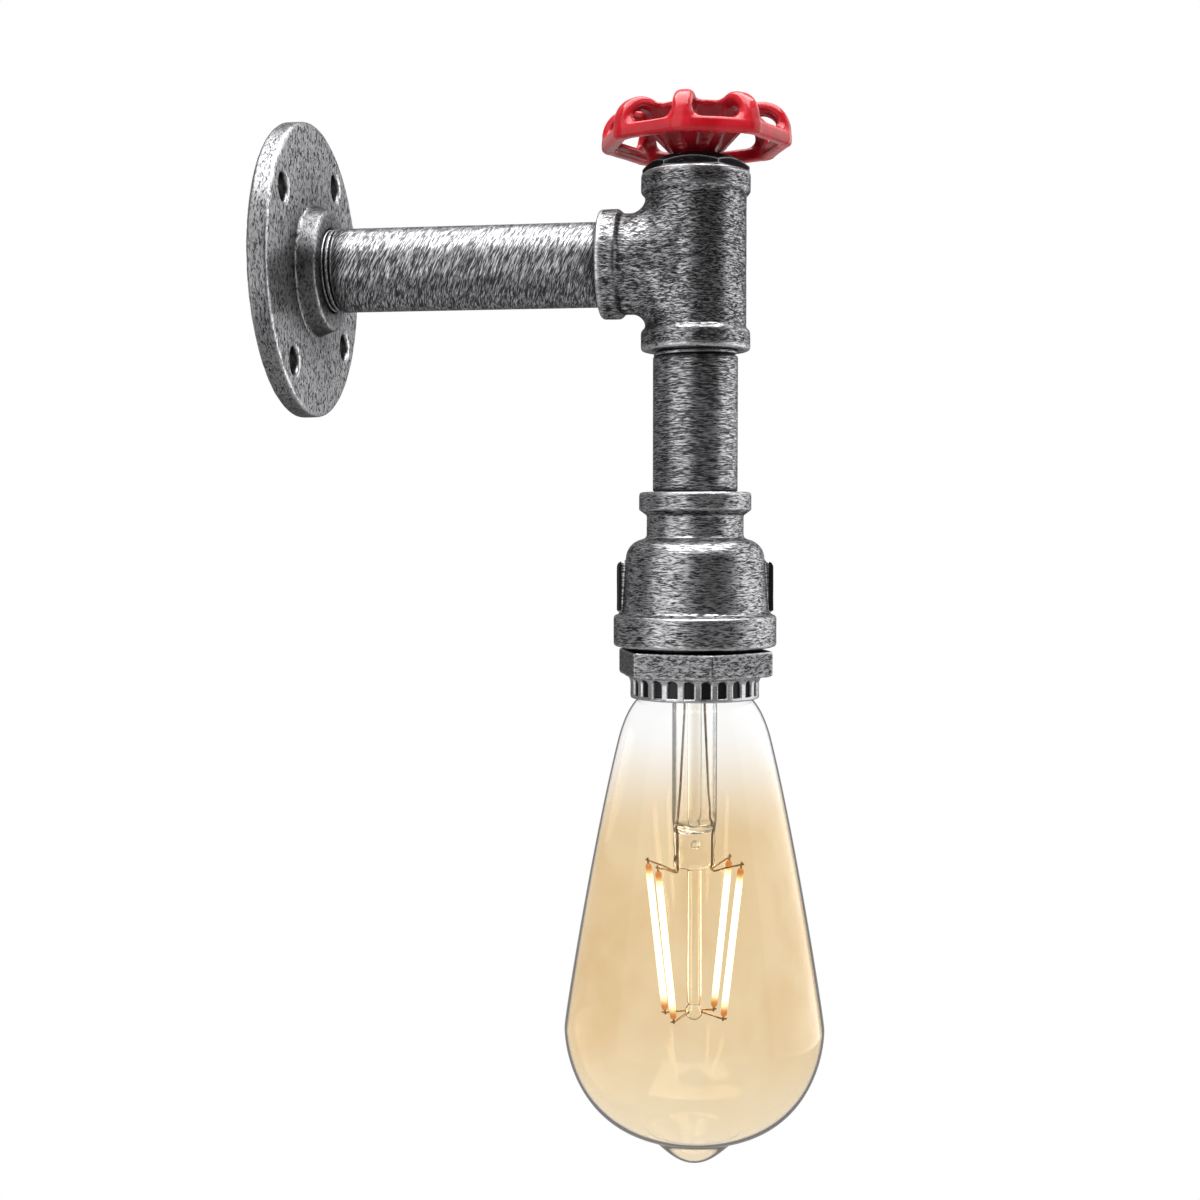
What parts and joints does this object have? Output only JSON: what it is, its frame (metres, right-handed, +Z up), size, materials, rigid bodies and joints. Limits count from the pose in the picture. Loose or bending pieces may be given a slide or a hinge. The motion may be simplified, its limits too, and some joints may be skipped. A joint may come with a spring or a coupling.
{
  "type": "pipe wall light",
  "caption": "Wall light built from threaded pipe and fittings: flange, arm, tee with a red valve wheel, drop pipe, bell reducer lampholder and a tapered amber filament bulb.",
  "frame": {"origin": "centre of the wall flange, on its back face, which lies on the wall", "axes": "+X out from the wall along the arm, +Z up, so the bulb hangs towards -Z"},
  "size_m": [0.135, 0.074, 0.263],
  "materials": {
    "silvered_casting": "black cast iron brushed over with silver, worn bright on the edges",
    "silvered_pipe": "steel pipe, black with fine silver brush strokes round it",
    "black_iron": "black, semi-matte",
    "red_enamel": "glossy red enamel over a casting",
    "zinc_steel": "zinc plated",
    "brass": "bright, lightly tarnished",
    "fibre_liner": "pressed fibre",
    "white_ceramic": "unglazed white ceramic",
    "brown_insulation": "smooth",
    "blue_insulation": "smooth",
    "green_insulation": "smooth, green and yellow",
    "amber_glass": "clear at the neck, amber below",
    "clear_glass": "clear",
    "lead_wire": "drawn wire",
    "filament": "phosphor coated, lit",
    "nickel": "nickel plated",
    "black_insulator": "black glass",
    "solder": "tinned",
    "green_board": "printed board",
    "capacitor_sleeve": "shrink sleeve"
  },
  "bodies": {
    "fixture": {"wall_flange": "silvered_casting", "arm_pipe": "silvered_pipe", "tee_fitting": "silvered_casting", "top_plug": "black_iron", "wheel_washer": "zinc_steel", "wheel_bolt": "zinc_steel", "drop_pipe": "silvered_pipe", "bell_reducer": "silvered_casting", "hexagon_bush": "silvered_casting", "holder_skirt": "silvered_casting", "holder_liner": "fibre_liner", "holder_base": "white_ceramic", "screw_shell": "brass", "centre_contact": "brass", "contact_rivet": "brass", "terminal_screws": "brass", "line_wire": "brown_insulation", "neutral_wire": "blue_insulation", "earth_wire": "green_insulation", "earth_lug": "zinc_steel", "earth_screw": "zinc_steel"},
    "wheel": {"handwheel": "red_enamel"},
    "bulb_travel_carrier": {"cap_contact": "solder"},
    "bulb": {"bulb_glass": "amber_glass", "bulb_stem": "clear_glass", "lead_wires": "lead_wire", "filament_hooks": "lead_wire", "filaments": "filament", "bulb_cap": "nickel", "cap_insulator": "black_insulator", "driver_board": "green_board", "driver_capacitor": "capacitor_sleeve"}
  },
  "joints": [
    {"name": "wheel_turn", "type": "hinge", "parent": "fixture", "child": "wheel", "pos_m": [0.1025, 0, 0.03], "axis": [0, 0, 1], "continuous": true},
    {"name": "bulb_travel", "type": "slide", "parent": "fixture", "child": "bulb_travel_carrier", "axis": [0, 0, -1], "range_m": [0, 0.0164]},
    {"name": "bulb_turn", "type": "hinge", "parent": "bulb_travel_carrier", "child": "bulb", "pos_m": [0.1025, 0, -0.08], "axis": [0, 0, -1], "range_deg": [0, 1620]}
  ],
  "couplings": [
    {"joint": "bulb_travel", "follows": "bulb_turn", "m_per_rad": 0.00057774}
  ]
}
